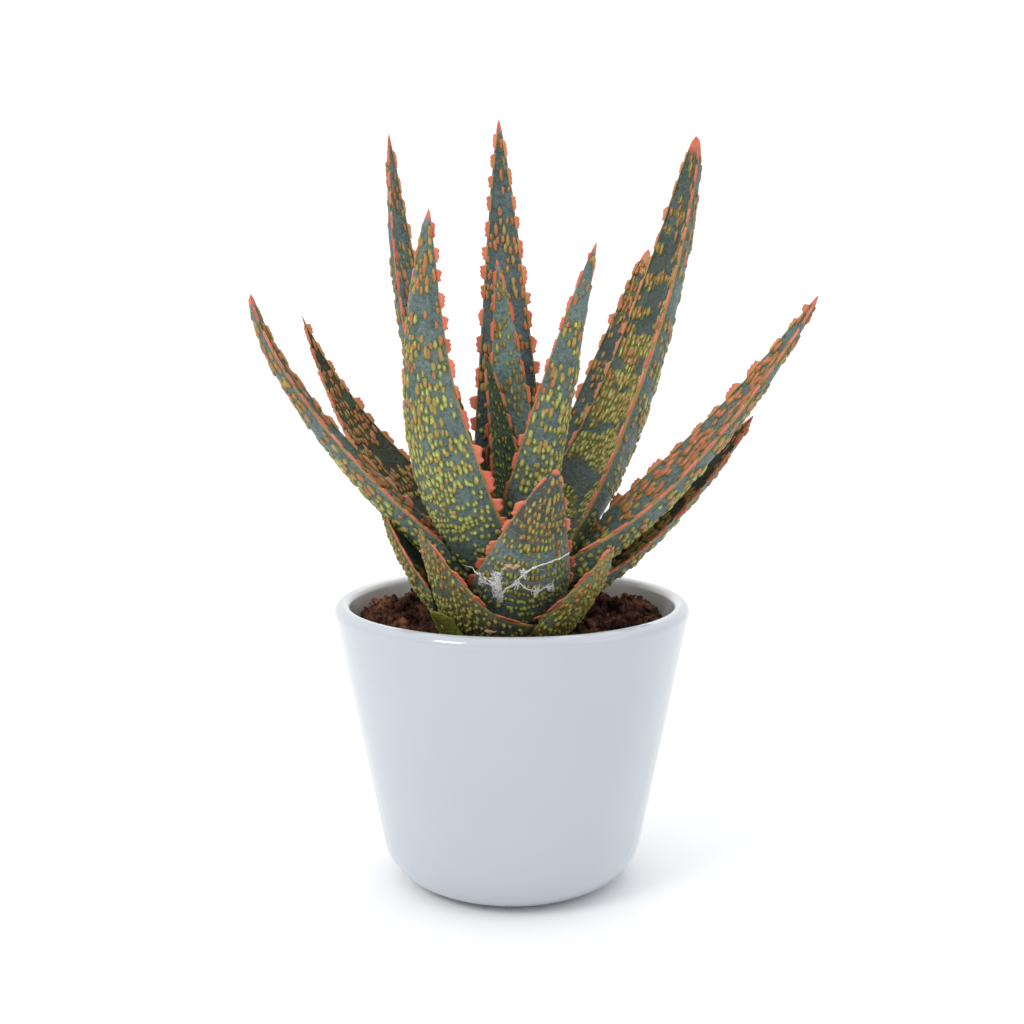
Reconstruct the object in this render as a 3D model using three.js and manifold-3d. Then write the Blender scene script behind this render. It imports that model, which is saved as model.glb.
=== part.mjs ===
// A potted zebra aloe: a white glazed pot, its soil, the short stem and one solid for each leaf.
// Millimetres and degrees, +Z up. The flat foot of the pot rests on z = 0 and the viewer stands at -Y.
import * as THREE from 'three';
import { mergeVertices } from 'three/addons/utils/BufferGeometryUtils.js';
import Module from 'manifold-3d';

const wasm = await Module();
wasm.setup();

// Driving dimensions.
const FIT_GAP = 0.35;
const ROUND_SIDES = 40;
const POT = { height: 84, rimRadius: 52.5, footRadius: 39.3, wall: 4.8, floor: 7 };
const POT_ROUND = { foot: 15, outerRim: 2.6, innerRim: 2.1, insideCorner: 9 };
const ROUND_STEPS = { foot: 5, outerRim: 4, innerRim: 3, insideCorner: 3 };
const SOIL = {
  top: 75,
  middleRadius: 27, // level inside this radius, where the leaves grow
  edgeWidth: 4,
  ripple: 0.8,
  ripplePace: { x: 1.3, y: 1.7 },
  rings: [0.84, 0.68, 0.52, 0.36, 0.12], // shares of the way from the stem's hole to the pot
};
const STEM = {
  foot: 50,
  footRadius: 4.2,
  radius: 7,
  shoulder: 56,
  crownFoot: 78,
  crownRadius: 7.6,
  crownTop: 92,
  tip: 111,
  tipRadius: 2.4,
  sides: 14,
};

// Clumps of soil: x, y, height above the level soil and spread.
const CLUMPS = [
  [-38, 8, 7, 9],
  [-27, 24, 7, 9],
  [-37, -14, 3, 8],
  [37, 14, 6, 10],
  [41, -6, 3, 8],
  [24, 32, 5, 9],
  [0, 39, 5, 9],
  [-14, -37, 2, 8],
];

// What all leaves share. Lengths are in millimetres, shares are of the leaf's length or half width.
const LEAF = {
  stationPitch: 3.8, // between the stations along a leaf
  stationSpacing: 0.96, // exponent, under 1 sets the stations closer towards the tip
  turnShare: 0.4, // the share of the length that it takes to turn about its own line
  baseShare: 0.3, // the share of the length where the leaf still clasps the stem
  baseWaist: 0.18, // how much narrower it is at the foot
  baseCup: 0.5, // depth of the channel at the foot, as a share of the half width
  baseThickness: 0.5, // thickness at the foot, as a share of the full thickness
  thinning: 0.7, // exponent of the thickness towards the tip
  topLines: [-0.5, 0, 0.5],
  bottomLines: [-0.8, -0.33, 0.33, 0.8],
  roundness: 0.6, // exponent of the underside's curve, lower is rounder
};

// Raised dashes on both faces, and the horny margin: a row of plates, each rising from a notch.
const DASH = { height: 0.75, share: 0.62, start: 0.2, fade: 0.5, spread: 0.5 };
const PLATE = {
  height: 1.7,
  tallest: 2.1,
  shortest: 4.5,
  longest: 8.5,
  shortening: 0.4, // of the plates towards the tip
  start: 0.12,
  end: 0.97,
  notch: 0.1,
  leastSize: 0.75,
  sizeSpread: 0.4,
  tipSize: 0.45,
  lift: 0.25, // towards the upper face, as a share of the height
  outline: [[0.22, 0.95], [0.62, 1], [0.88, 0.8]], // share of the plate's length and of its height
};
const BARE_MARGIN = [0, 1 / 3, 2 / 3]; // points on the margin below the first plate
const CUTTER_STATIONS = 16;
const UNDER_SOIL = { width: 200, depth: 60 };

// Leaves from the innermost to the outermost: name, the side of the stem it grows from, radius and
// height of its foot, rise of its first direction and the share of the chord that it is held for, tip,
// width, thickness, cup, turn and taper.
const LEAF_KEYS = [
  'name', 'side', 'footRadius', 'footHeight', 'rise', 'hold', 'tip',
  'width', 'thickness', 'cup', 'turn', 'taper',
];
const LEAVES = [
  ['leaf_inner_young', 110, 2, 106, 86, 0.45, [-8, 3, 157], 12, 3.4, 0.5, 0, 0.7],
  ['leaf_inner_left', 175, 3, 104, 66, 0.45, [-16, 4, 147], 11, 3, 0.35, 0, 0.8],
  ['leaf_inner_centre', 85, 4, 103, 86, 0.45, [-4.5, 8, 184], 20, 3.6, 0.2, 0, 0.8],
  ['leaf_tall_front_right', -58, 2, 96, 70, 0.45, [23, -20, 187], 21, 5, 0.25, 0, 0.75],
  ['leaf_tall_centre', 95, 6, 100, 80, 0.45, [-4, 24, 226], 25.5, 4.5, 0.15, 0, 0.78],
  ['leaf_tall_front_left', -135, 7, 98, 42, 0.45, [-22.5, -20, 196], 29, 5.5, 0.25, 20, 0.78],
  ['leaf_tall_right', 38, 7, 97, 47, 0.45, [57.7, 40, 223], 30, 9, 0.45, -12, 0.45],
  ['leaf_tall_left', 160, 7, 98, 64, 0.45, [-36, 12, 220], 25, 6, 0.28, -10, 0.7],
  ['leaf_tall_right_behind', 58, 8, 95, 44, 0.45, [45, 58, 189.5], 21.5, 4.5, 0.2, -10, 0.5],
  ['leaf_low_right', -4, 8, 93, 31, 0.45, [87, -6, 173], 23, 7, 0.3, 20, 0.62],
  ['leaf_low_left', 190, 8, 92, 40, 0.7, [-73, -12, 173], 16, 5.4, 0.35, -10, 0.32],
  ['leaf_low_left_behind', 153, 8, 93, 34, 0.58, [-65.5, 30, 168], 32, 5, 0.25, -18, 1.08],
  ['leaf_back_left', 128, 9, 90, 40, 0.45, [-30, 48, 152], 20, 5, 0.25, 0, 0.75],
  ['leaf_back_right', 100, 9, 89, 36, 0.45, [4, 60, 150], 20, 5, 0.25, 0, 0.75],
  ['leaf_front_centre', -80, 8, 86, 44, 0.45, [12, -38, 127], 34, 6, 0.2, 0, 0.75],
  ['leaf_low_right_under', 8, 9, 85, 26, 0.45, [72, 8, 138], 22, 6, 0.3, 24, 0.7],
  ['leaf_back_right_low', 42, 9, 84, 20, 0.45, [40, 40, 112], 20, 5, 0.25, 0, 0.75],
  ['leaf_back_left_low', 140, 9, 84, 26, 0.45, [-36, 36, 120], 20, 5, 0.25, 0, 0.75],
  ['leaf_back_centre_low', 80, 9, 83, 22, 0.45, [14, 52, 114], 20, 5, 0.25, 0, 0.75],
  ['leaf_front_left', -128, 10, 80, 14, 0.25, [-25.5, -28, 109.5], 40, 5, 0.3, -18, 1.1],
  ['leaf_front_right', -47, 10, 78, 24, 0.45, [28.4, -25, 104.4], 22, 5, 0.3, 8, 0.79],
  ['leaf_low_left_short', 192, 10, 79, 34, 0.45, [-38, -7, 114], 30, 5, 0.25, -16, 0.8],
  ['leaf_small_front_left', -136, 21, 76, 55, 0.5, [-22.5, -27.5, 86], 14, 3, 0.3, 0, 0.8],
];

const COLOURS = { pot: 0xe9edf0, soil: 0x3b2519, stem: 0x7f8f5c, leaf: 0x56695f };
const ROUGHNESS = { pot: 0.12, soil: 0.95, stem: 0.7, leaf: 0.5 };

// A linear congruential run of numbers between 0 and 1.
const RUN = { seedStep: 7919, seedStart: 13, factor: 1664525, step: 1013904223, range: 2 ** 32 };

function seededRandom(seed) {
  let state = seed * RUN.seedStep + RUN.seedStart;
  return () => {
    state = (state * RUN.factor + RUN.step) % RUN.range;
    return state / RUN.range;
  };
}

const radians = THREE.MathUtils.degToRad;
const smooth = (x) => THREE.MathUtils.smoothstep(x, 0, 1);

// The stretch of a circle between two angles, as points (radius, height).
function arc(centreRadius, centreHeight, radius, from, to, steps) {
  return Array.from({ length: steps + 1 }, (_, i) => {
    const angle = radians(from + ((to - from) * i) / steps);
    return [centreRadius + radius * Math.cos(angle), centreHeight + radius * Math.sin(angle)];
  });
}

// A geometry with positions only, its doubled corners joined.
function welded(geometry) {
  geometry.deleteAttribute('normal');
  geometry.deleteAttribute('uv');
  return mergeVertices(geometry, 1e-4);
}

// A closed body of revolution about Z from points (radius, height) that start and end on the axis.
function revolve(points, sides) {
  const profile = points.map(([radius, height]) => new THREE.Vector2(radius, height));
  return welded(new THREE.LatheGeometry(profile, sides).rotateX(Math.PI / 2));
}

const wallLean = Math.atan((POT.rimRadius - POT.footRadius) / POT.height);
const wallLeanDegrees = THREE.MathUtils.radToDeg(wallLean);

// Inner radius of the pot at a height: the wall is equally thick all the way up.
function cavityRadius(height) {
  const outer = POT.footRadius + (POT.rimRadius - POT.footRadius) * (height / POT.height);
  return outer - POT.wall;
}

function potProfile() {
  const { foot, outerRim, innerRim, insideCorner } = POT_ROUND;
  const steps = ROUND_STEPS;
  const innerTop = cavityRadius(POT.height) + innerRim;
  const innerFoot = cavityRadius(POT.floor) - insideCorner;
  return [
    [0, 0],
    ...arc(POT.footRadius - foot, foot, foot, -90, -wallLeanDegrees, steps.foot),
    ...arc(POT.rimRadius - outerRim, POT.height - outerRim, outerRim, -wallLeanDegrees, 90, steps.outerRim),
    ...arc(innerTop, POT.height - innerRim, innerRim, 90, 180, steps.innerRim),
    ...arc(innerFoot, POT.floor + insideCorner, insideCorner, 0, -90, steps.insideCorner),
    [0, POT.floor],
  ];
}

// Height of the soil above its level middle.
function soilRise(x, y) {
  const clumps = CLUMPS.reduce((sum, [cx, cy, height, spread]) => {
    return sum + height * Math.exp(-((x - cx) ** 2 + (y - cy) ** 2) / (spread * spread));
  }, 0);
  const ripple = SOIL.ripple * Math.sin(x * SOIL.ripplePace.x) * Math.cos(y * SOIL.ripplePace.y);
  const edge = smooth((Math.hypot(x, y) - SOIL.middleRadius) / SOIL.edgeWidth);
  return edge * (clumps + ripple);
}

function soilProfile() {
  const bottom = POT.floor + FIT_GAP;
  const corner = POT_ROUND.insideCorner;
  const holeRadius = STEM.radius + FIT_GAP;
  const holeFoot = STEM.foot - FIT_GAP;
  const outer = cavityRadius(SOIL.top) - FIT_GAP;
  const cornerCentre = cavityRadius(bottom) - corner;
  return [
    [0, bottom],
    ...arc(cornerCentre, bottom + corner, corner - FIT_GAP, -90, 0, ROUND_STEPS.insideCorner),
    [outer, SOIL.top],
    ...SOIL.rings.map((share) => [holeRadius + share * (outer - holeRadius), SOIL.top]),
    [holeRadius, SOIL.top],
    [holeRadius, holeFoot],
    [0, holeFoot],
  ];
}

function soilGeometry() {
  const geometry = revolve(soilProfile(), ROUND_SIDES);
  const position = geometry.getAttribute('position');
  for (let i = 0; i < position.count; i++) {
    if (position.getZ(i) > SOIL.top - FIT_GAP) {
      position.setZ(i, SOIL.top + soilRise(position.getX(i), position.getY(i)));
    }
  }
  return geometry;
}

// The stem's outline, grown by a margin where it cuts its seat into the leaves.
function stemProfile(grow) {
  return [
    [0, STEM.foot - grow],
    [STEM.footRadius + grow, STEM.foot - grow],
    [STEM.radius + grow, STEM.shoulder],
    [STEM.radius + grow, SOIL.top],
    [STEM.crownRadius + grow, STEM.crownFoot],
    [STEM.crownRadius + grow, STEM.crownTop],
    [STEM.tipRadius + grow, STEM.tip + grow / 2],
    [0, STEM.tip + grow],
  ];
}

// The middle line of a leaf with its frame: sideways is along the width, face to the inner side.
function leafFrame({ side, footRadius, footHeight, rise, hold, tip, turn }) {
  const away = new THREE.Vector3(Math.cos(radians(side)), Math.sin(radians(side)), 0);
  const across = new THREE.Vector3(-away.y, away.x, 0);
  const foot = away.clone().multiplyScalar(footRadius).setZ(footHeight);
  const end = new THREE.Vector3(...tip);
  const growth = away.clone().multiplyScalar(Math.cos(radians(rise))).setZ(Math.sin(radians(rise)));
  const bend = foot.clone().addScaledVector(growth, foot.distanceTo(end) * hold);
  const line = new THREE.QuadraticBezierCurve3(foot, bend, end);
  const at = (t) => {
    const along = line.getTangentAt(t);
    const sideways = across.clone().addScaledVector(along, -across.dot(along)).normalize();
    sideways.applyAxisAngle(along, radians(turn * smooth(t / LEAF.turnShare)));
    return { centre: line.getPointAt(t), sideways, face: along.clone().cross(sideways) };
  };
  return { at, length: line.getLength() };
}

// Half width, channel depth and thickness of a leaf at a share t of its length.
function leafSection({ width, thickness, cup, taper }, t) {
  const base = Math.max(0, 1 - t / LEAF.baseShare) ** 2;
  const half = (width / 2) * (1 - t) ** taper * (1 - LEAF.baseWaist * base);
  const channel = half * (cup + (LEAF.baseCup - cup) * base);
  const flesh = 1 - (1 - LEAF.baseThickness) * base;
  return { half, channel, thick: thickness * flesh * (1 - t) ** LEAF.thinning };
}

// Three ways to place a point of a leaf, at a share t of its length and u = -1 to 1 across it.
function leafPlacer(leaf, frame, grow) {
  const place = (t, outAt, upAt) => {
    const { centre, sideways, face } = frame.at(t);
    const section = leafSection(leaf, t);
    return centre.addScaledVector(sideways, outAt(section)).addScaledVector(face, upAt(section));
  };
  const curve = (u) => 1 - u * u;
  const faceOut = (u, raise) => ({ half }) => u * (half + grow + raise * DASH.spread);
  return {
    margin: (t, u, raise) => place(t, ({ half }) => u * (half + grow + raise), () => raise * PLATE.lift),
    top: (t, u, raise) => {
      return place(t, faceOut(u, raise), ({ channel }) => grow + raise - channel * curve(u));
    },
    bottom: (t, u, raise) => {
      const upAt = ({ channel, thick }) => {
        return -grow - raise - channel * curve(u) - thick * curve(u) ** LEAF.roundness;
      };
      return place(t, faceOut(u, raise), upAt);
    },
  };
}

// Margin points [t, height of the plate] from foot to tip: a notch, then the plate's own outline.
function plateRow(length, random) {
  const row = BARE_MARGIN.map((share) => [share * PLATE.start, 0]);
  let t = PLATE.start;
  while (t < 1 - PLATE.shortest / length) {
    const longer = (PLATE.longest - PLATE.shortest) * random() * (1 - PLATE.shortening * t);
    const reach = (PLATE.shortest + longer) / length;
    const towardsTip = PLATE.tipSize + (1 - PLATE.tipSize) * (1 - t);
    const size = PLATE.height * (PLATE.leastSize + PLATE.sizeSpread * random()) * towardsTip;
    const drawn = Math.min(reach, PLATE.end - t);
    row.push([t, PLATE.notch], ...PLATE.outline.map(([share, tall]) => [t + share * drawn, tall * size]));
    t += reach;
  }
  return row;
}

// Triangles between two neighbouring lines of points { t, index } that run the same way.
function zip(left, right, faces) {
  let i = 0;
  let j = 0;
  while (i < left.length - 1 || j < right.length - 1) {
    const leftEnds = i === left.length - 1;
    const rightEnds = j === right.length - 1;
    const stepLeft = rightEnds || (!leftEnds && left[i + 1].t <= right[j + 1].t);
    const next = stepLeft ? left[i + 1] : right[j + 1];
    const triangle = [left[i].index, right[j].index, next.index];
    if (new Set(triangle).size === 3) faces.push(...triangle);
    if (stepLeft) i += 1;
    else j += 1;
  }
}

// The closed body of a leaf. Every line is [u, [[t, raise], ...]] and runs from the foot to the tip.
function leafBody(leaf, frame, grow, { margins, top, bottom }) {
  const placer = leafPlacer(leaf, frame, grow);
  const points = [frame.at(1).centre];
  const faces = [];
  const draw = (lines, place) => lines.map(([u, row]) => {
    const drawn = row.map(([t, raise]) => ({ t, u, index: points.push(place(t, u, raise)) - 1 }));
    return [...drawn, { t: 1, index: 0 }];
  });
  const [left, right] = draw(margins, placer.margin);
  const over = [left, ...draw(top, placer.top), right];
  const under = [left, ...draw(bottom, placer.bottom), right];
  for (let k = 1; k < over.length; k++) zip(over[k], over[k - 1], faces);
  for (let k = 1; k < under.length; k++) zip(under[k - 1], under[k], faces);
  const footRow = (lines) => lines.map(([first]) => ({ t: first.u, index: first.index }));
  zip(footRow(under), footRow(over), faces);
  return toManifold(points.flatMap((point) => point.toArray()), faces);
}

const stationRow = (count) => Array.from({ length: count }, (_, i) => (i / count) ** LEAF.stationSpacing);
const dashHeight = (t) => DASH.height * (1 - DASH.fade * t);

// The leaf as it is seen, with seeded plates on its margins and seeded dashes on both faces.
function leafSolid(leaf, seed) {
  const random = seededRandom(seed);
  const frame = leafFrame(leaf);
  const stations = stationRow(Math.round(frame.length / LEAF.stationPitch));
  const dashes = (u, k) => {
    const raiseAt = (t, i) => {
      const chosen = (i + k) % 2 === 0 && random() < DASH.share;
      return chosen && t > DASH.start ? dashHeight(t) : 0;
    };
    return [u, stations.map((t, i) => [t, raiseAt(t, i)])];
  };
  const margins = [-1, 1].map((u) => [u, plateRow(frame.length, random)]);
  const top = LEAF.topLines.map(dashes);
  const bottom = LEAF.bottomLines.map(dashes);
  return leafBody(leaf, frame, 0, { margins, top, bottom });
}

// The leaf grown by the gap and past all plates and dashes, to cut its seat in the leaves outside it.
function leafCutter(leaf) {
  const frame = leafFrame(leaf);
  const stations = stationRow(CUTTER_STATIONS);
  const dashStart = DASH.start - 1 / CUTTER_STATIONS;
  const face = (u) => [u, stations.map((t) => [t, t > dashStart ? dashHeight(t) : 0])];
  const margins = [-1, 1].map((u) => [u, stations.map((t) => [t, t > 0 ? PLATE.tallest : 0])]);
  const top = [-1, ...LEAF.topLines, 1].map(face);
  const bottom = LEAF.bottomLines.map(face);
  return leafBody(leaf, frame, FIT_GAP, { margins, top, bottom });
}

function toManifold(positions, faces) {
  return new wasm.Manifold(
    new wasm.Mesh({
      numProp: 3,
      vertProperties: new Float32Array(positions),
      triVerts: new Uint32Array(faces),
    }),
  );
}

function geometryToManifold(geometry) {
  return toManifold(geometry.getAttribute('position').array, geometry.index.array);
}

function manifoldToGeometry(solid) {
  const { vertProperties, triVerts } = solid.getMesh();
  const geometry = new THREE.BufferGeometry();
  geometry.setAttribute('position', new THREE.BufferAttribute(vertProperties, 3));
  geometry.setIndex(new THREE.BufferAttribute(triVerts, 1));
  return geometry;
}

// The largest body of a solid that a cut has split.
function largestBody(solid) {
  return solid.decompose().reduce((best, body) => (body.volume() > best.volume() ? body : best));
}

// Every leaf, cut clear of the soil, of the stem and of the leaves inside it.
function leafSolids() {
  const { width, depth } = UNDER_SOIL;
  const block = new THREE.BoxGeometry(width, width, depth);
  const underSoil = welded(block.translate(0, 0, SOIL.top + FIT_GAP - depth / 2));
  const stemSeat = revolve(stemProfile(FIT_GAP), STEM.sides);
  const seats = [geometryToManifold(underSoil), geometryToManifold(stemSeat)];
  return LEAVES.map((row, i) => {
    const leaf = Object.fromEntries(LEAF_KEYS.map((key, k) => [key, row[k]]));
    const clear = seats.reduce((solid, seat) => solid.subtract(seat), leafSolid(leaf, i + 1));
    seats.push(leafCutter(leaf));
    return [leaf.name, largestBody(clear)];
  });
}

function part(name, geometry, look) {
  const flat = geometry.toNonIndexed();
  flat.computeVertexNormals();
  const material = new THREE.MeshStandardMaterial({
    color: COLOURS[look],
    roughness: ROUGHNESS[look],
    metalness: 0,
  });
  const mesh = new THREE.Mesh(flat, material);
  mesh.name = name;
  return mesh;
}

const aloe = new THREE.Group();
aloe.add(part('pot', revolve(potProfile(), ROUND_SIDES), 'pot'));
aloe.add(part('soil', soilGeometry(), 'soil'));
aloe.add(part('stem', revolve(stemProfile(0), STEM.sides), 'stem'));
leafSolids().forEach(([name, solid]) => aloe.add(part(name, manifoldToGeometry(solid), 'leaf')));

export default aloe;
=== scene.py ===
# %% [markdown]
# # A potted zebra aloe
# This lesson dresses a measured model of a young zebra aloe in a white glazed pot. The measured
# model gives the size and the place of every piece. Here each piece is built again, finer, in the
# same place, and gets a finish that is made of shader nodes only.
#
# The first cell loads the measured pieces.

# %% Load the measured pieces
import bisect
import math

import bmesh
import bpy
from mathutils import Matrix, Quaternion, Vector, noise
from mathutils.bvhtree import BVHTree
from mathutils.kdtree import KDTree


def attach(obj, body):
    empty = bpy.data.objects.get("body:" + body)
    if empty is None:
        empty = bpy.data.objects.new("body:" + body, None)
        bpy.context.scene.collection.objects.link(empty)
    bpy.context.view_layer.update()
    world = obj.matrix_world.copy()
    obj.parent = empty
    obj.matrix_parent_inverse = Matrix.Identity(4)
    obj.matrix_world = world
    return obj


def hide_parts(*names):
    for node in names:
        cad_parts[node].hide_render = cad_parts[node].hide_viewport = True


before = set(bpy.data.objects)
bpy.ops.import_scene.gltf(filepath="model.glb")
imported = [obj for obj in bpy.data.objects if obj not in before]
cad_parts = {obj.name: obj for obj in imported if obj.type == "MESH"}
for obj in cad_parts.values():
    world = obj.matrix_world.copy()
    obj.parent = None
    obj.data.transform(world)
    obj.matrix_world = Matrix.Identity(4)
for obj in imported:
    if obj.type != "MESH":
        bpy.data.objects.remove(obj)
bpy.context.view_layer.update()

MM = 0.001
UP = Vector((0, 0, 1))
print("measured pieces:", len(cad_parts))

# %% [markdown]
# ## The leaves in numbers
# An aloe leaf can be told in a few numbers: the side of the stem that it grows from, where its foot
# is, how steeply it starts and for how long, where its tip ends, how wide, thick and hollow it is,
# how far it turns about its own line, and how it tapers. The rows run from the innermost leaf to
# the outermost, in millimetres and degrees. The last two words name the pattern of the dashes on
# the inner face and on the outer face.

# %% Read a table
def read_table(words, rows):
    # A cell that ends in a digit is a number, any other is a word.
    table = []
    for row in rows.strip().splitlines():
        cells = [float(cell) if cell[-1].isdigit() else cell for cell in row.split()]
        table.append(dict(zip(words.split(), cells)))
    return table


# %% One row for each leaf
LEAF_WORDS = (
    "name side foot_radius foot_height rise hold tip_x tip_y tip_z "
    "width thickness cup turn taper inner outer"
)
LEAF_ROWS = """
leaf_inner_young        110  2 106 86 0.45    -8     3   157   12 3.4  0.5   0  0.7 young    young
leaf_inner_left         175  3 104 66 0.45   -16     4   147   11   3 0.35   0  0.8 young    young
leaf_inner_centre        85  4 103 86 0.45  -4.5     8   184   20 3.6  0.2   0  0.8 pale     pale
leaf_tall_front_right   -58  2  96 70 0.45    23   -20   187   21   5 0.25   0 0.75 dark     lime
leaf_tall_centre         95  6 100 80 0.45    -4    24   226 25.5 4.5 0.15   0 0.78 sparse   amber
leaf_tall_front_left   -135  7  98 42 0.45 -22.5   -20   196   29 5.5 0.25  20 0.78 dark     dense
leaf_tall_right          38  7  97 47 0.45  57.7    40   223   30   9 0.45 -12 0.45 blotched bloomed
leaf_tall_left          160  7  98 64 0.45   -36    12   220   25   6 0.28 -10  0.7 calm     calm
leaf_tall_right_behind   58  8  95 44 0.45    45    58 189.5 21.5 4.5  0.2 -10  0.5 dark     amber
leaf_low_right           -4  8  93 31 0.45    87    -6   173   23   7  0.3  20 0.62 reddish  bumpy
leaf_low_left           190  8  92 40  0.7   -73   -12   173   16 5.4 0.35 -10 0.32 reddish  bumpy
leaf_low_left_behind    153  8  93 34 0.58 -65.5    30   168   32   5 0.25 -18 1.08 red      amber
leaf_back_left          128  9  90 40 0.45   -30    48   152   20   5 0.25   0 0.75 dark     amber
leaf_back_right         100  9  89 36 0.45     4    60   150   20   5 0.25   0 0.75 dark     amber
leaf_front_centre       -80  8  86 44 0.45    12   -38   127   34   6  0.2   0 0.75 dark     banded
leaf_low_right_under      8  9  85 26 0.45    72     8   138   22   6  0.3  24  0.7 red      lime
leaf_back_right_low      42  9  84 20 0.45    40    40   112   20   5 0.25   0 0.75 dark     lime
leaf_back_left_low      140  9  84 26 0.45   -36    36   120   20   5 0.25   0 0.75 dark     lime
leaf_back_centre_low     80  9  83 22 0.45    14    52   114   20   5 0.25   0 0.75 dark     lime
leaf_front_left        -128 10  80 14 0.25 -25.5   -28 109.5   40   5  0.3 -18  1.1 dark     olive
leaf_front_right        -47 10  78 24 0.45  28.4   -25 104.4   22   5  0.3   8 0.79 dark     mossy
leaf_low_left_short     192 10  79 34 0.45   -38    -7   114   30   5 0.25 -16  0.8 dark     olive
leaf_small_front_left  -136 21  76 55  0.5 -22.5 -27.5    86   14   3  0.3   0  0.8 plain    plain
"""
LEAVES = read_table(LEAF_WORDS, LEAF_ROWS)
print("leaves:", len(LEAVES))

# %% [markdown]
# ## Chance that repeats
# Teeth and dashes are never alike, but the plant has to come out the same on every run. A run of
# numbers does that: each is worked out from the last one, starting from the leaf's own seed.

# %% A repeatable run of chance
TIMES, PLUS, RANGE = 1664525, 1013904223, 2**32


def chance_run(seed):
    state = seed * 7919 + 13

    def draw():
        nonlocal state
        state = (state * TIMES + PLUS) % RANGE
        return state / RANGE

    return draw


def smoothstep(x):
    x = min(1, max(0, x))
    return x * x * (3 - 2 * x)


# %% [markdown]
# ## The middle line of a leaf
# A leaf starts steeply and then bends to its tip. A curve with one control point is enough for
# that. It is measured first, so that equal shares of t are equal lengths of leaf and the dashes
# don't bunch up. At each share the line gives its centre, a sideways direction and the direction of
# the inner face.

# %% Follow the middle line
LINE_STEPS = 200
TURN_SHARE = 0.4  # share of the length after which the leaf's turn is complete


def leaf_line(leaf):
    side, rise = math.radians(leaf["side"]), math.radians(leaf["rise"])
    away = Vector((math.cos(side), math.sin(side), 0))
    across = Vector((-away.y, away.x, 0))
    foot = (away * leaf["foot_radius"] + UP * leaf["foot_height"]) * MM
    tip = Vector((leaf["tip_x"], leaf["tip_y"], leaf["tip_z"])) * MM
    bend = foot + (away * math.cos(rise) + UP * math.sin(rise)) * (tip - foot).length * leaf["hold"]

    def point(s):
        return foot * (1 - s) ** 2 + bend * (2 * s * (1 - s)) + tip * s * s

    lengths = [0.0]
    for i in range(LINE_STEPS):
        lengths.append(lengths[-1] + (point((i + 1) / LINE_STEPS) - point(i / LINE_STEPS)).length)

    def at(t):
        wanted = min(1, max(0, t)) * lengths[-1]
        i = min(LINE_STEPS - 1, max(0, bisect.bisect_right(lengths, wanted) - 1))
        s = (i + (wanted - lengths[i]) / (lengths[i + 1] - lengths[i])) / LINE_STEPS
        along = ((bend - foot) * (1 - s) + (tip - bend) * s).normalized()
        sideways = (across - along * across.dot(along)).normalized()
        turn = math.radians(leaf["turn"] * smoothstep(t / TURN_SHARE))
        sideways.rotate(Quaternion(along, turn))
        return point(s), sideways, along.cross(sideways), along

    return at, lengths[-1]


print("length of the longest leaf, mm:", round(max(leaf_line(leaf)[1] for leaf in LEAVES) / MM))

# %% [markdown]
# ## The cross-section
# Across the leaf, u runs from -1 at one margin to 1 at the other. The inner face is a shallow
# channel and the outer face bulges. Both get narrower and thinner towards the tip, and the foot
# clasps the stem.

# %% Measure the section
# The foot is this share of the leaf, narrower, thinner and more hollow than the blade.
FOOT_SHARE, FOOT_NARROWER, FOOT_THINNER, FOOT_CUP = 0.3, 0.18, 0.5, 0.5
THINNING, BULGE = 0.7, 0.6  # powers: how the tip thins out and how round the outer face is


def section(leaf, t):
    base = max(0, 1 - t / FOOT_SHARE) ** 2
    half = leaf["width"] / 2 * (1 - t) ** leaf["taper"] * (1 - FOOT_NARROWER * base)
    channel = half * (leaf["cup"] + (FOOT_CUP - leaf["cup"]) * base)
    thick = leaf["thickness"] * (1 - FOOT_THINNER * base) * (1 - t) ** THINNING
    return half * MM, channel * MM, thick * MM


def skin_point(leaf, at, t, u, inner):
    centre, sideways, face, _ = at(t)
    half, channel, thick = section(leaf, t)
    curve = max(0, 1 - u * u)
    up = -channel * curve - (0 if inner else thick * curve**BULGE)
    return centre + sideways * (u * half) + face * up


# %% [markdown]
# ## Wrapping a sheet into a leaf
# One sheet is enough for a leaf: its long edges are rolled together, as a paper cone is, and its
# far edge shrinks to the tip. Half of the sheet becomes the inner face and half the outer face, so
# the sheet's own flat coordinates stay on the leaf and later tell the finish where the margins and
# the tip are.

# %% Roll a sheet into a blade
def new_work():
    work = bmesh.new()
    work.loops.layers.uv.new("Leaf")
    return work


UNEVEN, UNEVEN_GRAIN = 0.35 * MM, 140
RING_DRIFT = 0.96  # below 1: the rings close up towards the tip
MARGIN_SHARPNESS = 8  # how late a seat widens towards its margins
MERGE = 2e-7


def blade_mesh(leaf, around, along, spare=0.0, spare_margin=0.0):
    at, _ = leaf_line(leaf)
    sheet = new_work()
    bmesh.ops.create_grid(sheet, x_segments=around, y_segments=along, size=0.5, calc_uvs=True)
    for v in sheet.verts:
        a, t = v.co.x + 0.5, (v.co.y + 0.5) ** RING_DRIFT
        v.co = skin_point(leaf, at, t, -math.cos(math.tau * a), a <= 0.5)
    bmesh.ops.remove_doubles(sheet, verts=sheet.verts, dist=MERGE)
    bmesh.ops.holes_fill(sheet, edges=[e for e in sheet.edges if e.is_boundary], sides=0)
    bmesh.ops.recalc_face_normals(sheet, faces=sheet.faces)
    sheet.normal_update()
    if spare:
        grow_blade(sheet, spare, spare_margin)
    else:
        for v in sheet.verts:
            v.co += v.normal * UNEVEN * noise.noise(v.co * UNEVEN_GRAIN)
    return sheet


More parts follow.
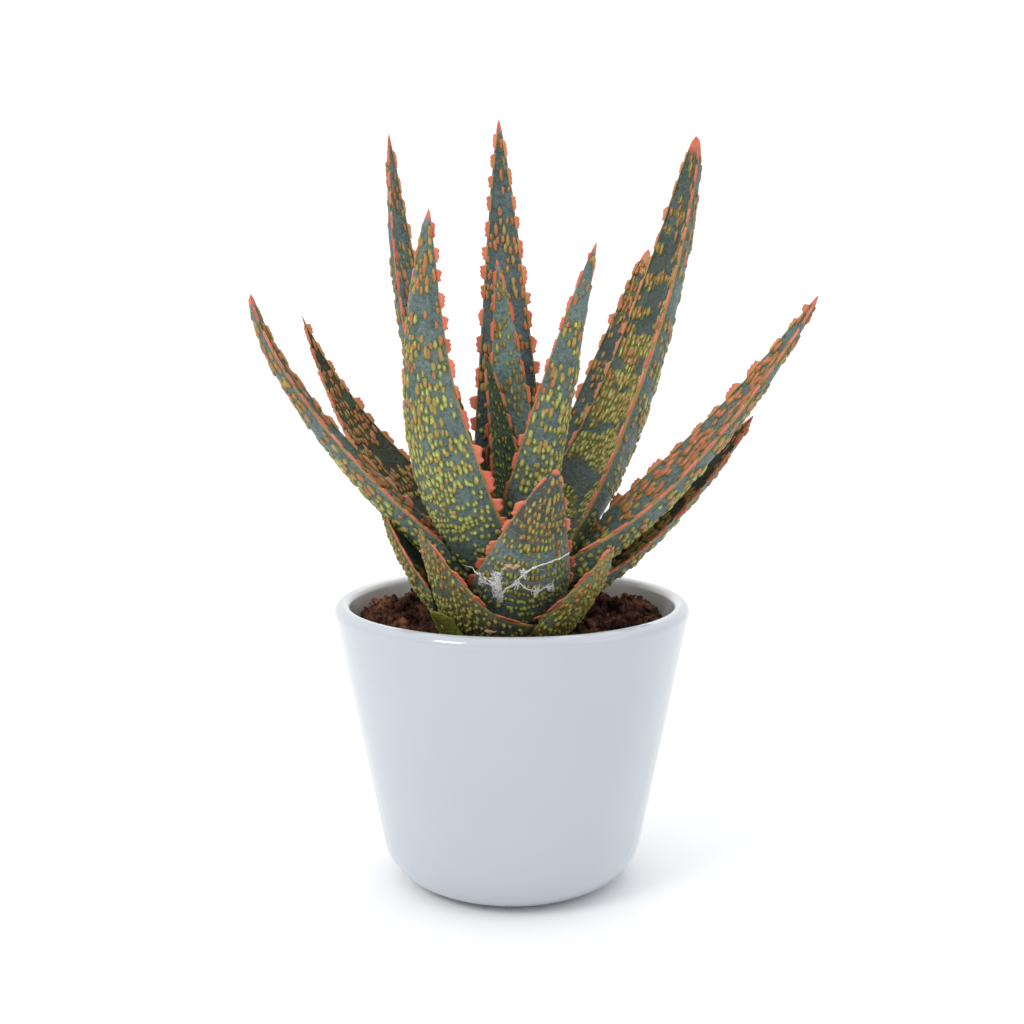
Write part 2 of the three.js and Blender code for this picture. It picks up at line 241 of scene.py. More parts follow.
def grow_blade(sheet, spare, spare_margin):
    layer = sheet.loops.layers.uv.active
    moves = []
    for v in sheet.verts:
        edge = 0.0
        for loop in v.link_loops[:1]:
            edge = abs(math.cos(math.tau * loop[layer].uv.x)) ** MARGIN_SHARPNESS
        moves.append(v.normal * (spare + spare_margin * edge))
    for v, move in zip(sheet.verts, moves):
        v.co += move


# %% [markdown]
# ## Keeping the leaves apart
# Leaves sheathe each other at the foot, but two solid things can't share a space. So the soil, the
# stem and each inner leaf cut their seat, a little oversize, out of the leaves outside them. A
# boolean does this, and the crumbs that it cuts off are thrown away, with any plate that has lost
# its stretch of blade.

# %% Cut the seats
TOUCH = 0.1 * MM


def add_object(name, data):
    made = bpy.data.objects.new(name, data)
    bpy.context.scene.collection.objects.link(made)
    return made


def mesh_object(name, work, materials=()):
    for face in work.faces:
        face.smooth = True
    mesh = bpy.data.meshes.new(name)
    work.to_mesh(mesh)
    work.free()
    for material in materials:
        mesh.materials.append(material)
    return add_object(name, mesh)


def boxes_meet(a, b):
    low_a, high_a, low_b, high_b = (Vector(x.bound_box[k]) for x in (a, b) for k in (0, 6))
    return all(low_a[k] < high_b[k] and low_b[k] < high_a[k] for k in range(3))


def cut_seats(piece, seats):
    for seat in seats:
        if boxes_meet(piece, seat):
            cut = piece.modifiers.new(seat.name, "BOOLEAN")
            cut.operation, cut.solver, cut.object = "DIFFERENCE", "MANIFOLD", seat
    shown = piece.evaluated_get(bpy.context.evaluated_depsgraph_get())
    cleared = bpy.data.meshes.new_from_object(shown)
    piece.modifiers.clear()
    piece.data = cleared
    return piece


def islands_of(work):
    left = set(work.verts)
    islands = []
    while left:
        island, edge = set(), [left.pop()]
        while edge:
            v = edge.pop()
            island.add(v)
            for e in v.link_edges:
                other = e.other_vert(v)
                if other in left:
                    left.discard(other)
                    edge.append(other)
        islands.append(island)
    return islands


def keep_largest(work):
    largest = max(islands_of(work), key=len)
    bmesh.ops.delete(work, geom=[v for v in work.verts if v not in largest], context="VERTS")


def drop_loose(piece, skin):
    work = bmesh.new()
    work.from_mesh(piece.data)
    loose = []
    for island in islands_of(work):
        if min(skin.find_nearest(v.co)[3] for v in island) > TOUCH:
            loose += island
    bmesh.ops.delete(work, geom=loose, context="VERTS")
    work.to_mesh(piece.data)
    work.free()


# %% [markdown]
# ## The horny margin
# The edge of the leaf is a row of coral plates. Each rises from a notch, is 4 to 8 mm long, and
# ends in a few tiny teeth. A plate is made as the blade is, from a sheet that is rolled up and
# closed at both ends, so it is solid and its root is sunk into the leaf.

# %% Set out the plates
# Size of the plates on the margin at u = -1 and at u = 1, where it isn't the usual one.
PLATE_SIZES = {
    "leaf_inner_young": (0.4, 0.4),
    "leaf_inner_left": (0.6, 0.6),
    "leaf_inner_centre": (0.5, 0.5),
    "leaf_tall_front_right": (0.6, 0.5),
    "leaf_tall_centre": (1.1, 1.1),
    "leaf_tall_front_left": (0.6, 1.15),
    "leaf_tall_right": (0.75, 1.1),
    "leaf_tall_left": (0.9, 0.65),
    "leaf_low_right": (0.7, 1.5),
    "leaf_low_left": (1.3, 0.7),
    "leaf_front_left": (0.7, 0.8),
    "leaf_front_right": (0.8, 0.6),
    "leaf_small_front_left": (0.15, 0.15),
}
PLATE_OUTLINE = [(0, 0.05), (0.14, 0.5), (0.45, 0.9), (0.78, 1), (0.92, 0.6), (1, 0.05)]
PLATE_START, PLATE_END = 0.12, 0.97  # shares of the leaf's length
PLATE_SHORTEST, PLATE_SPREAD = 4.5, 4  # millimetres
PLATE_HEIGHT = 2.1 * MM


def plate_rows(length, draw):
    row, t = [], PLATE_START
    while t < 1 - PLATE_SHORTEST * MM / length:
        reach = (PLATE_SHORTEST + PLATE_SPREAD * draw() * (1 - 0.4 * t)) * MM / length
        size = PLATE_HEIGHT * (0.6 + 0.6 * draw()) * (0.45 + 0.55 * (1 - t))
        row.append((t, min(reach, PLATE_END - t), size))
        t += reach * (1.04 + 0.35 * draw())
    return row


def outline_height(share):
    for (a, low), (b, high) in zip(PLATE_OUTLINE, PLATE_OUTLINE[1:]):
        if share <= b:
            return low + (high - low) * (share - a) / (b - a)
    return PLATE_OUTLINE[-1][1]


# %% Roll one plate
PLATE_AROUND, PLATE_ALONG = 6, 18
PLATE_SUNK, PLATE_HALF, PLATE_LIFT = 0.55 * MM, 0.5 * MM, 0.25
TOOTH_RISE, TOOTH_FALL = 0.7, 0.3  # a tooth rises slowly and falls fast
DETAIL_SEED = 500


def add_plate(work, leaf, at, u, start, reach, size, draw):
    teeth, lean, full = 2 + int(3.6 * draw()), 0.5 * draw(), 0.4 + 0.6 * draw()
    made = bmesh.ops.create_grid(
        work, x_segments=PLATE_AROUND, y_segments=PLATE_ALONG, size=0.5, calc_uvs=False
    )["verts"]
    layer = work.loops.layers.uv.active
    tint = draw()
    for v in made:
        a, share = v.co.x + 0.5, v.co.y + 0.5
        spot = (share * teeth + lean) % 1
        tooth = spot / TOOTH_RISE if spot < TOOTH_RISE else (1 - spot) / TOOTH_FALL
        tooth *= 0.3 + 0.25 * noise.noise(v.co * 9)
        height = size * (full * outline_height(share) + tooth)
        ends = min(1, 6 * min(share, 1 - share))
        out = 0.5 - 0.5 * math.cos(math.tau * a)
        wide = PLATE_HALF * (1 - 0.62 * out) * math.sin(math.tau * a) * ends
        centre, sideways, face, _ = at(start + reach * share)
        half = section(leaf, start + reach * share)[0]
        sunk = -PLATE_SUNK + out * (height + PLATE_SUNK) * ends
        lift = PLATE_LIFT * max(0, sunk)
        v.co = centre + sideways * u * (half + sunk) + face * (wide + lift)
        for loop in v.link_loops:
            loop[layer].uv = (out, tint)


def plates_mesh(leaf, seed):
    draw = chance_run(seed)
    detail = chance_run(seed + DETAIL_SEED)
    at, length = leaf_line(leaf)
    work = new_work()
    for u, share in zip((-1, 1), PLATE_SIZES.get(leaf["name"], (1, 1))):
        for start, reach, size in plate_rows(length, draw):
            add_plate(work, leaf, at, u, start, reach, size * share, detail)
    bmesh.ops.remove_doubles(work, verts=work.verts, dist=MERGE)
    bmesh.ops.recalc_face_normals(work, faces=work.faces)
    return work


# %% [markdown]
# ## The dashes
# The zebra look comes from raised, glassy dashes that stand in bands across the leaf. Near the foot
# they are short, close and yellow-green, further up they are longer, further apart, and have an
# orange or red core. Each one is a low dome, half of a small ball, stretched along the leaf and
# sunk into its skin. Each look gives the skin, the distance of the bands and of the dashes in them,
# the share that stands, their size and breadth, how strictly they keep to their rows, how ripe they
# are, how far they tint the skin between them, how much they thin out towards the tip and where on
# the leaf they stop.

# %% Patterns of dashes
LOOK_WORDS = "name skin band gap kept scale broad row ripe bed fade stop"
# The look red lays a darker skin, painted shade, on two inner faces that lie in the shade of other
# leaves.
LOOK_ROWS = """
young    fresh 1.8  1.3  1.2  0.5  1.1 0.3  -0.5 0.3  0.4 0.85
pale     pale  2.7  1.7 1.15 0.95 1.05 0.3  -0.2 0.6  0.4 0.94
calm     slate 2.8  1.8 0.75  1.0  1.1 0.4   0.0 0.6  0.3 0.95
sparse   dusk  2.9  1.8  0.9  1.1 1.05 0.4  0.12 0.7  0.4 0.95
lime     slate 2.4  1.6  1.4  1.0 1.15 0.2  -0.2 0.8  0.5 0.95
dense    slate 2.3  1.6 1.45  1.0  1.1 0.2 -0.18 0.6 0.25 0.96
bumpy    slate 2.5  1.6  1.6  1.1 1.15 0.3 -0.02 0.8  0.4 0.97
bloomed  slate 2.7  1.7  1.3  1.1 1.15 0.3 -0.05 0.7  0.4 0.96
amber    slate 2.7  1.7  1.4  1.1 1.15 0.4     0 0.7  0.4 0.96
banded   waxen 2.5  1.5  1.4 0.78 1.15 0.6 -0.14 0.7 0.35 0.94
olive    olive 1.9 1.15  1.8 0.66 1.15 0.5 -0.18 1.0  0.3 0.92
mossy    moss  1.8  1.2  2.0 0.72 1.15 0.5  -0.2 1.0  0.3 0.92
dark     deep  2.7  1.7  1.4  1.1 1.15 0.4  0.05 0.8  0.4 0.95
blotched deep  2.2  1.3 1.75 1.15 0.95 0.3 -0.12 1.6 0.85 0.97
reddish  slate 2.9  1.8 1.25  1.6  1.0 0.3  0.42 0.7  0.3 0.97
red      brown 2.7  1.4  1.7  1.2 0.74 0.3   0.2 1.2  0.3 0.97
plain    lime    6    4  0.1  0.6    1   0  -0.5   0  0.4  0.8
"""
LOOKS = {look["name"]: look for look in read_table(LOOK_WORDS, LOOK_ROWS)}
HORN_SLOT, DASH_SLOT = 2, 3
DASH_SEED = 900


# %% Raise one dash
def small_shape(name, make, **size):
    work = new_work()
    layer = work.loops.layers.uv.active
    make(work, **size)
    for face in work.faces:
        for loop in face.loops:
            loop[layer].uv = (1 - max(0, loop.vert.co.z), 0)
    mesh = bpy.data.meshes.new(name)
    work.to_mesh(mesh)
    work.free()
    return mesh


def stamp(work, shape, matrix):
    verts, faces = len(work.verts), len(work.faces)
    work.from_mesh(shape, face_normals=False, vertex_normals=False)
    work.verts.ensure_lookup_table()
    work.faces.ensure_lookup_table()
    made = work.verts[verts:]
    for v in made:
        v.co = matrix @ v.co
    return made, work.faces[faces:]


DOME = small_shape("dome", bmesh.ops.create_uvsphere, u_segments=7, v_segments=5, radius=1)
DASH_UNEVEN, DASH_GRAIN = 0.7, 800
GROWN_FROM, GROWN_OVER = 0.15, 0.3  # where along the leaf the dashes get longer


def add_dash(work, place, axes, slot, tint):
    matrix = Matrix.Identity(4)
    for column, axis in enumerate(axes):
        matrix[0][column], matrix[1][column], matrix[2][column] = axis
    matrix.translation = place
    layer = work.loops.layers.uv.active
    verts, faces = stamp(work, DOME, matrix)
    for v in verts:
        v.co += (v.co - place) * DASH_UNEVEN * noise.noise(v.co * DASH_GRAIN)
    for face in faces:
        face.material_index = slot
        for loop in face.loops:
            loop[layer].uv.y = tint


def dash_size(look, here, size):
    grown = smoothstep((here - GROWN_FROM) / GROWN_OVER)
    long = look["scale"] * (0.72 + 0.25 * size + grown * (0.25 + 0.85 * size**2)) * MM
    wide = look["scale"] * look["broad"] * (0.56 + 0.22 * size) * (1 - 0.25 * here) * MM
    return wide, long, (0.36 + 0.22 * size) * MM


# %% Set out the dashes
DASH_START, DASH_END, DASH_EDGE = 0.04, 0.97, 0.95
CLOUD_LENGTH, PATCH_GRAIN = 7 * MM, 150
NEAR_SKIN = 0.4 * MM
RIPE_MARKS = (0.3, 0.64)  # below the first a dash is lime, up to the second amber, then ember


def crowding(leaf, place, t, length, inner):
    band = noise.noise(Vector((t * length / CLOUD_LENGTH, leaf["width"], 3.7 * inner)))
    patch = noise.noise(place * PATCH_GRAIN)
    return 0.62 + 1.5 * band + 1.1 * patch


def add_dashes(work, leaf, inner, skin, draw):
    look = LOOKS[leaf["inner" if inner else "outer"]]
    at, length = leaf_line(leaf)
    t, placed = DASH_START, []
    while t < look["stop"]:
        half = section(leaf, t)[0]
        drift, dense = draw() - 0.5, 1 - look["fade"] * smoothstep((t - 0.3) / 0.5)
        places = max(2, round(2 * half * (1 if inner else 1.2) / (look["gap"] * MM)))
        for k in range(places):
            u = -DASH_EDGE + 2 * DASH_EDGE * (k + 0.5 + 0.6 * (draw() - 0.5)) / places
            loose, bow = (1 - look["row"]) * (draw() - 0.5), look["row"] * u * u
            here = t + (2 * loose + 2 * drift * u + 2.2 * bow) * MM / length
            size, chance, ripe, tint = draw(), draw(), draw(), draw()
            place = skin_point(leaf, at, here, u, inner)
            crowd = crowding(leaf, place, here, length, inner)
            crowd += 0.5 * look["row"] * (1 - crowd)
            found, normal, _, gap = skin.find_nearest(place)
            missing = chance > look["kept"] * dense * crowd
            if missing or here > DASH_END or found is None or gap > NEAR_SKIN:
                continue
            along = at(here)[3]
            along = (along - normal * along.dot(normal)).normalized()
            wide, long, tall = dash_size(look, here, size)
            stage = here + look["ripe"] + 0.7 * (ripe - 0.5) + (0.15 if abs(u) > 0.75 else 0)
            slot = DASH_SLOT + bisect.bisect_right(RIPE_MARKS, stage)
            axes = (along.cross(normal) * wide, along * long, normal * tall)
            add_dash(work, found, axes, slot, tint)
            placed.append((found, look["bed"]))
        t += look["band"] * MM / length * (0.8 + 0.4 * draw())
    return placed


# %% [markdown]
# The skin is darker and greener where dashes crowd. Each point of the blade is told how close the
# dashes are, as a number from 0 to 1 that is kept on the mesh under the name Bed, for the skin's
# finish to read.

# %% Tell the skin where its dashes are
BED_REACH, BED_WEIGHT = 1.9 * MM, 0.8


def mark_beds(work, placed):
    bed = work.verts.layers.float.new("Bed")
    tree = KDTree(len(placed))
    for index, (place, _) in enumerate(placed):
        tree.insert(place, index)
    tree.balance()
    for v in work.verts:
        near = tree.find_range(v.co, BED_REACH)
        shares = (BED_WEIGHT * placed[k][1] * (1 - gap / BED_REACH) for _, k, gap in near)
        v[bed] = min(1, sum(shares))


# %% [markdown]
# ## Finishes from nodes
# A helper starts a material, and its small functions add a node and join it up. One of them, lay,
# lays a colour over another where a value rises from low to high, or falls if the higher number
# comes first. All patterns read the object's own coordinates, which are true metres here, or the
# sheet's flat coordinates, so they stay on the surface from every side.

# %% Helpers for finishes
class Finish:
    def __init__(self, name, roughness, specular):
        self.material = bpy.data.materials.new(name)
        self.material.use_nodes = True
        self.nodes, self.links = self.material.node_tree.nodes, self.material.node_tree.links
        self.shader = self.nodes["Principled BSDF"]
        self.shader.inputs["Roughness"].default_value = roughness
        self.shader.inputs["Specular IOR Level"].default_value = specular
        self.where = self.nodes.new("ShaderNodeTexCoord").outputs["Object"]

    def add(self, kind, values=None, **settings):
        node = self.nodes.new(kind)
        for key, value in settings.items():
            setattr(node, key, value)
        for socket, value in (values or {}).items():
            node.inputs[socket].default_value = value
        return node

    def join(self, value, socket):
        if isinstance(value, (int, float)):
            socket.default_value = value
        elif isinstance(value, tuple):
            socket.default_value = (*value, 1)
        elif value is not None:
            self.links.new(value, socket)

    def grain(self, scale, detail, rough=0.55, stretch=None):
        values = {"Scale": scale, "Detail": detail, "Roughness": rough}
        node = self.add("ShaderNodeTexNoise", values)
        where = self.where
        if stretch:
            mapping = self.add("ShaderNodeMapping", {"Scale": stretch})
            self.join(where, mapping.inputs["Vector"])
            where = mapping.outputs["Vector"]
        self.join(where, node.inputs["Vector"])
        return node.outputs["Fac"]

    def sheet(self):
        split = self.add("ShaderNodeSeparateXYZ")
        self.join(self.add("ShaderNodeUVMap", uv_map="Leaf").outputs["UV"], split.inputs[0])
        return split.outputs["X"], split.outputs["Y"]

    def calc(self, kind, a, b=None):
        node = self.add("ShaderNodeMath", operation=kind)
        self.join(a, node.inputs[0])
        self.join(b, node.inputs[1])
        return node.outputs[0]

    def plus(self, a, b):
        return self.calc("ADD", a, b)

    def minus(self, a, b):
        return self.calc("SUBTRACT", a, b)

    def times(self, a, b):
        return self.calc("MULTIPLY", a, b)

    def ramp(self, factor, *stops):
        node = self.add("ShaderNodeValToRGB")
        marks = node.color_ramp.elements
        while len(marks) < len(stops):
            marks.new(0.5)
        for mark, (position, colour) in zip(marks, stops):
            mark.position, mark.color = position, (*colour, 1)
        self.join(factor, node.inputs["Fac"])
        return node.outputs["Color"]

    def mix(self, factor, a, b):
        node = self.add("ShaderNodeMix", data_type="RGBA")
        for index, value in ((0, factor), (6, a), (7, b)):
            self.join(value, node.inputs[index])
        return node.outputs[2]

    def step(self, value, low, high):
        values = {"From Min": low, "From Max": high}
        node = self.add("ShaderNodeMapRange", values, interpolation_type="SMOOTHSTEP")
        self.join(value, node.inputs["Value"])
        return node.outputs["Result"]

    def lay(self, below, above, value, low, high, share=1):
        mask = self.step(value, low, high)
        if share < 1:
            mask = self.times(mask, share)
        return self.mix(mask, below, above)

    def colour(self, out):
        self.join(out, self.shader.inputs["Base Color"])

    def relief(self, out, depth, strength=1.0):
        bump = self.add("ShaderNodeBump", {"Strength": strength, "Distance": depth})
        self.join(out, bump.inputs["Height"])
        self.join(bump.outputs["Normal"], self.shader.inputs["Normal"])

    def gloss(self, out, low, high):
        node = self.add("ShaderNodeMapRange", {"To Min": low, "To Max": high})
        self.join(out, node.inputs["Value"])
        self.join(node.outputs["Result"], self.shader.inputs["Roughness"])


# %% [markdown]
# ## The skin of the leaves
# The skin is dark blue-green under a thin bloom of wax, which is thicker on some outer faces, and
# it turns olive in the beds of the dashes. One skin, on the front leaf, darkens in its upper half.
# Along the margin runs a thin orange line, the foot is pale green where light never reaches it, and
# the tip is coral.

# %% Skin finish
EDGE_LINE = (0.4, 0.24, 0.06)
FOOT_GREEN = (0.15, 0.19, 0.07)
TIP_CORAL = (0.68, 0.17, 0.09)


def leaf_skin(name, ground, bloom, bed, upper=None):
    finish = Finish(name, 0.5, 0.35)
    patches, mottle = finish.grain(70, 5), finish.grain(420, 5, 0.65)
    speckle = finish.grain(900, 4, 0.75)
    x, y = finish.sheet()
    cloud = finish.plus(finish.times(patches, 0.6), finish.times(mottle, 0.4))
    skin = finish.lay(ground, bloom, cloud, 0.38, 0.6)
    if upper:
        risen = finish.plus(y, finish.times(finish.minus(patches, 0.5), 0.5))
        skin = finish.lay(skin, upper, risen, 0.42, 0.66, 0.92)
    near = finish.add("ShaderNodeAttribute", attribute_name="Bed").outputs["Fac"]
    near = finish.plus(near, finish.times(finish.minus(mottle, 0.5), 1.8))
    skin = finish.lay(skin, bed, near, 0.35, 0.75, 0.9)
    skin = finish.lay(skin, tuple(0.45 * c for c in ground), speckle, 0.5, 0.64, 0.7)
    paler = tuple(min(1, 1.5 * c + 0.02) for c in bloom)
    skin = finish.lay(skin, paler, speckle, 0.44, 0.34, 0.5)
    wave = finish.calc("ABSOLUTE", finish.calc("COSINE", finish.times(x, math.tau)))
    skin = finish.lay(skin, EDGE_LINE, wave, 0.972, 0.99)
    skin = finish.lay(skin, FOOT_GREEN, y, 0.12, 0.0, 0.5)
    finish.colour(finish.lay(skin, TIP_CORAL, y, 0.955, 0.985))
    finish.relief(finish.plus(mottle, finish.grain(900, 3)), 0.5 * MM, 0.9)
    finish.gloss(patches, 0.4, 0.6)
    return finish.material


# Ground, bloom and bed of each skin, and the colour of its upper half where that differs.
SKIN_COLOURS = {
    "slate": ((0.078, 0.118, 0.106), (0.13, 0.182, 0.166), (0.11, 0.13, 0.042)),
    "dusk": ((0.056, 0.088, 0.088), (0.096, 0.138, 0.138), (0.1, 0.105, 0.04)),
    "waxen": (
        (0.122, 0.17, 0.16), (0.19, 0.245, 0.235), (0.115, 0.125, 0.055), (0.045, 0.048, 0.028),
    ),
    "pale": ((0.12, 0.195, 0.185), (0.185, 0.27, 0.25), (0.17, 0.205, 0.08)),
    "deep": ((0.043, 0.066, 0.056), (0.078, 0.11, 0.096), (0.2, 0.19, 0.03)),
    "olive": ((0.086, 0.106, 0.072), (0.15, 0.178, 0.132), (0.14, 0.13, 0.045)),
    "moss": ((0.12, 0.135, 0.078), (0.19, 0.21, 0.13), (0.23, 0.215, 0.062)),
    # Painted shade: a darker copy of the skin, for the two inner faces that lie in the shade of the
    # leaves above them.
    "brown": ((0.03, 0.036, 0.02), (0.06, 0.075, 0.048), (0.085, 0.075, 0.024)),
    "fresh": ((0.055, 0.105, 0.062), (0.09, 0.15, 0.09), (0.085, 0.12, 0.035)),
    "lime": ((0.15, 0.19, 0.03), (0.23, 0.27, 0.05), (0.12, 0.15, 0.03)),
}
SKINS = {}
for name, colours in SKIN_COLOURS.items():
    SKINS[name] = leaf_skin("leaf skin " + name, *colours)
print("skin finishes:", len(SKINS))

# %% [markdown]
# ## Horn and dashes
# The plates are coral red with a duller, yellowish root, and green on the smallest leaf. The dashes
# share one recipe: a rim that is nearly the colour of lichen, and a core that ripens from
# yellow-green over orange to red.

# %% Horn and dash finishes
LICHEN = (0.34, 0.2, 0.05)


def horn(name, dull, bright, stain, root_colour):
    finish = Finish(name, 0.42, 0.4)
    out, tint = finish.sheet()
    plate = finish.mix(tint, dull, bright)
    plate = finish.lay(plate, stain, finish.grain(260, 4), 0.5, 0.72, 0.6)
    plate = finish.lay(plate, LICHEN, finish.grain(45, 3), 0.56, 0.68, 0.6)
    finish.colour(finish.lay(plate, root_colour, out, 0.45, 0.15))
    finish.relief(finish.grain(800, 3), 0.2 * MM, 0.4)
    return finish.material


def dash_finish(name, core, rim, spread):
    finish = Finish(name, 0.3, 0.5)
    height, tint = finish.sheet()
    vary = finish.mix(tint, core, tuple(min(1, 1.4 * c) for c in core))
    colour = finish.lay(vary, rim, height, 0.0, spread)
    # The foot of each dash is darkened: partly its own dark outline, partly painted shade where the
    # dome meets the skin.
    colour = finish.lay(colour, tuple(0.75 * c for c in rim), height, 0.75, 1.0)
    finish.colour(finish.mix(finish.times(finish.grain(500, 3), 0.35), colour, rim))
    finish.relief(finish.grain(1200, 2), 0.1 * MM, 0.3)
    return finish.material


CORAL = horn(
    "horny margin coral",
    (0.62, 0.11, 0.065), (0.75, 0.2, 0.12), (0.42, 0.1, 0.045), (0.42, 0.27, 0.07),
)
GREEN_HORN = horn(
    "horny margin green",
    (0.24, 0.25, 0.05), (0.3, 0.3, 0.07), (0.2, 0.17, 0.04), (0.22, 0.25, 0.05),
)
DASHES = [
    dash_finish("dash lime", (0.43, 0.45, 0.125), (0.25, 0.265, 0.06), 0.3),
    dash_finish("dash amber", (0.47, 0.175, 0.052), (0.25, 0.235, 0.052), 0.34),
    dash_finish("dash ember", (0.46, 0.095, 0.05), (0.25, 0.17, 0.042), 0.45),
]

# %% [markdown]
# ## The stem
# The stem is short and hidden. It is turned from a profile, and rings where old leaves stood run
# round it.

# %% Turn the stem
STEM_PROFILE = [(0, 50), (4.2, 50), (7, 56), (7, 75), (7.6, 78), (7.6, 92), (2.4, 111), (0, 111)]
STEM_STEPS = 40


def turned(name, profile, steps, materials):
    work = new_work()
    verts = [work.verts.new((radius * MM, 0, height * MM)) for radius, height in profile]
    edges = [work.edges.new(pair) for pair in zip(verts, verts[1:])]
    bmesh.ops.spin(
        work, geom=verts + edges, axis=UP, angle=math.tau, steps=steps, use_merge=True
    )
    bmesh.ops.remove_doubles(work, verts=work.verts, dist=2e-6)
    bmesh.ops.recalc_face_normals(work, faces=work.faces)
    return mesh_object(name, work, materials)


def stem_finish():
    finish = Finish("stem green", 0.6, 0.3)
    rings = finish.grain(300, 4, 0.6, (0.3, 0.3, 1.6))
    finish.colour(finish.lay((0.07, 0.085, 0.03), (0.14, 0.13, 0.05), rings, 0.35, 0.65))
    finish.relief(rings, 0.5 * MM)
    return finish.material


stem = turned("stem_of_aloe", STEM_PROFILE, STEM_STEPS, [stem_finish()])
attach(stem, "root")
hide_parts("stem")
print("stem faces:", len(stem.data.polygons))

# %% [markdown]
# ## Making every leaf
# Now the steps run for each leaf, from the inside out: roll the blade, cut the seats, roll the
# plates and cut them too, and raise the dashes on what is left of the skin. All of it becomes one
# mesh, because a leaf is one grown thing.

# %% Seats for the leaves
GAP = 0.35  # free space at every fit, in millimetres
FIT_GAP = GAP * MM
SEAT_SPARE, SEAT_MARGIN = 0.5 * MM, 1.6 * MM  # room for the uneven skin and for the plates
SEAT_AROUND, SEAT_ALONG = 32, 40

seat_sides = [(radius + GAP, height) for radius, height in STEM_PROFILE[1:-1]]
stem_seat = turned("seat_stem", [(0, 49)] + seat_sides + [(0, 111.5)], STEM_STEPS, [])
# A block stands for the soil. Its top lies a gap above the soil's plain top, which is 75 mm high.
block = bmesh.new()
block_place, block_size = Matrix.Translation((0, 0, 0.04535)), Matrix.Diagonal((0.2, 0.2, 0.06, 1))
bmesh.ops.create_cube(block, size=1, matrix=block_place @ block_size)
soil_seat = mesh_object("seat_soil", block)
seats = [soil_seat, stem_seat]


# %% Put one leaf together
BLADE_AROUND, BLADE_ALONG_LEAST, BLADE_STEP = 44, 24, 1.3 * MM


def raise_leaf(leaf, seed):
    _, length = leaf_line(leaf)
    sheet = blade_mesh(leaf, BLADE_AROUND, max(BLADE_ALONG_LEAST, round(length / BLADE_STEP)))
    blade = cut_seats(mesh_object(leaf["name"] + "_blade", sheet), seats)
    plates = cut_seats(mesh_object(leaf["name"] + "_plates", plates_mesh(leaf, seed)), seats)
    work = bmesh.new()
    work.from_mesh(blade.data)
    keep_largest(work)
    skin = BVHTree.FromBMesh(work)
    layer = work.loops.layers.uv.active
    for face in work.faces:
        face.material_index = 0 if face.loops[0][layer].uv.x < 0.5 else 1
    counted = len(work.faces)
    drop_loose(plates, skin)
    work.from_mesh(plates.data)
    work.faces.ensure_lookup_table()
    for face in work.faces[counted:]:
        face.material_index = HORN_SLOT
    draw = chance_run(seed + DASH_SEED)
    placed = add_dashes(work, leaf, True, skin, draw)
    placed += add_dashes(work, leaf, False, skin, draw)
    mark_beds(work, placed)
    margin = GREEN_HORN if leaf["outer"] == "plain" else CORAL
    skins = [SKINS[LOOKS[leaf[face]]["skin"]] for face in ("inner", "outer")]
    piece = mesh_object(leaf["name"] + "_grown", work, skins + [margin] + DASHES)
    for used in (blade, plates):
        bpy.data.objects.remove(used)
    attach(piece, "root")
    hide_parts(leaf["name"])
    return piece, len(placed)


total = 0
for index, leaf in enumerate(LEAVES):
    piece, dashes = raise_leaf(leaf, index + 1)
    seat = blade_mesh(leaf, SEAT_AROUND, SEAT_ALONG, FIT_GAP + SEAT_SPARE, SEAT_MARGIN)
    seats.append(mesh_object("seat_" + leaf["name"], seat))
    triangles = sum(len(p.vertices) - 2 for p in piece.data.polygons)
    total += triangles
    print(leaf["name"], "dashes", dashes, "triangles", triangles)
for seat in seats:
    bpy.data.objects.remove(seat)
print("triangles in all leaves:", total)

# %% [markdown]
# ## The pot
# The pot is thrown and glazed: an even wall, a thick round rim and a soft foot. Its outline is
# drawn once and spun about the pot's axis. Many short steps in the roundings keep the reflections
# clean. The inner wall above the soil is painted whiter than the outside: painted light that makes
# up for the shade inside the pot.

# %% Spin the pot
def rounding(radius_at, height_at, radius, start, end, steps=14):
    turns = [math.radians(start + (end - start) * i / steps) for i in range(steps + 1)]
    return [(radius_at + radius * math.cos(a), height_at + radius * math.sin(a)) for a in turns]


POT_HEIGHT, RIM, FOOT, WALL, FLOOR = 84, 52.5, 39.3, 4.8, 7
FOOT_ROUND, LIP_OUT, LIP_IN, FLOOR_ROUND = 15, 2.6, 2.1, 9
LEAN = math.degrees(math.atan((RIM - FOOT) / POT_HEIGHT))


def inner_radius(height):
    return FOOT + (RIM - FOOT) * height / POT_HEIGHT - WALL


INNER_FROM, INNER_FULL = 1.5, 4.4  # how deep behind the outer face the inner wall's painted light begins
INNER_LOW, INNER_HIGH = 20, 30  # and how high above the table
INNER_PAINTED_LIGHT, SPECK_GREY = (0.82, 0.84, 0.86), (0.35, 0.38, 0.42)


